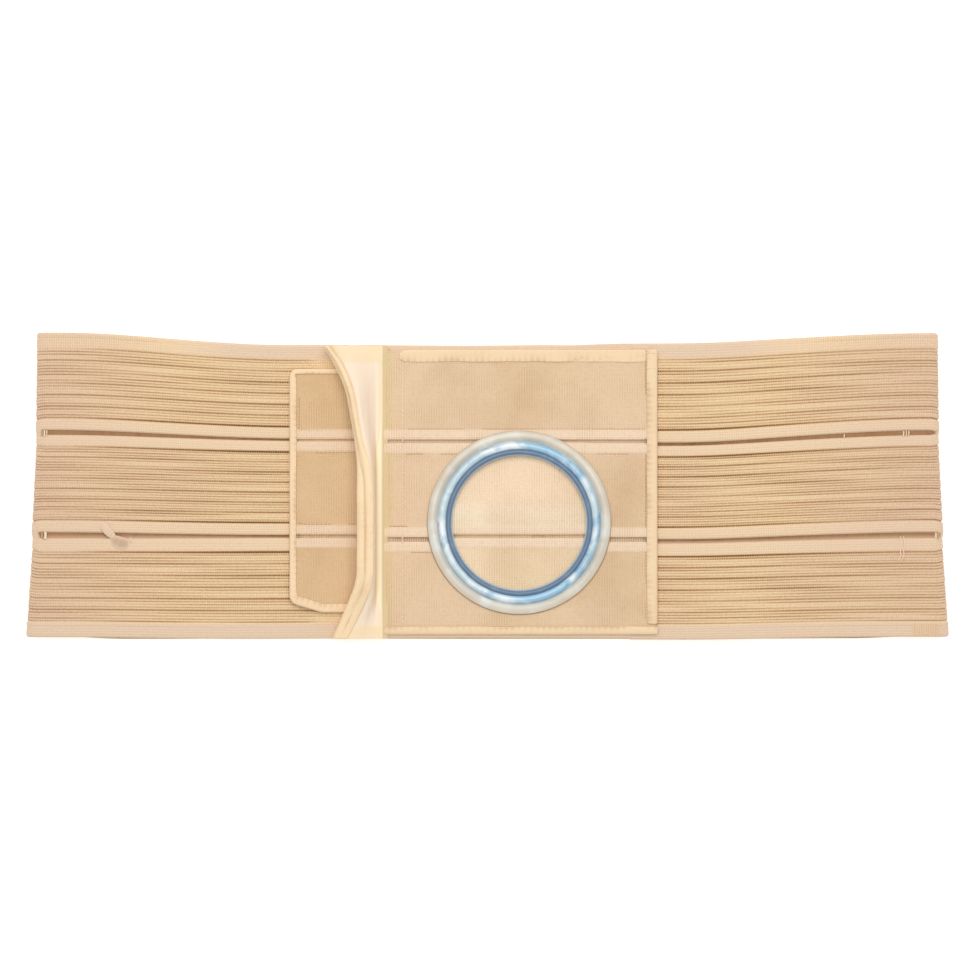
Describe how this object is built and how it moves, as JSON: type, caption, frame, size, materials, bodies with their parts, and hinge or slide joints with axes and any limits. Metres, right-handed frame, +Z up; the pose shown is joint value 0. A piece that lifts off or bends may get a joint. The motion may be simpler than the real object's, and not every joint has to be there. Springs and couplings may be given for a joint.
{
  "type": "ostomy support belt",
  "caption": "Vented elastic ostomy support belt closed into a loop and lying flat, with a bound front panel, a pouch ring, and a closure tab under a standing flap.",
  "frame": {"origin": "on the surface that the belt lies on, under the middle of its outline", "axes": "+X along the belt towards the fold beside the front panel's right edge, +Y towards the wearer's head, +Z up out of the front panel"},
  "size_m": [0.48, 0.159, 0.0265],
  "materials": {
    "elastic": "ribbed beige elastic webbing",
    "knit": "fine beige warp knit",
    "tape": "soft cream binding tape",
    "lining": "smooth pale pinkish cream cloth",
    "ring_flange": "glossy, clear, faintly blue",
    "ring_rim": "semi-gloss slate blue"
  },
  "bodies": {
    "root": {"elastic_upper": "elastic", "elastic_middle": "elastic", "elastic_lower": "elastic", "tab_upper": "knit", "tab_middle": "knit", "tab_lower": "knit", "tab_binding": "tape", "panel_upper": "knit", "panel_middle": "knit", "panel_lower": "knit", "panel_top_binding": "tape", "panel_right_binding": "tape", "panel_bottom_binding": "tape", "flap": "lining", "flap_binding": "tape", "ring_flange": "ring_flange", "ring_rim": "ring_rim"}
  },
  "joints": []
}
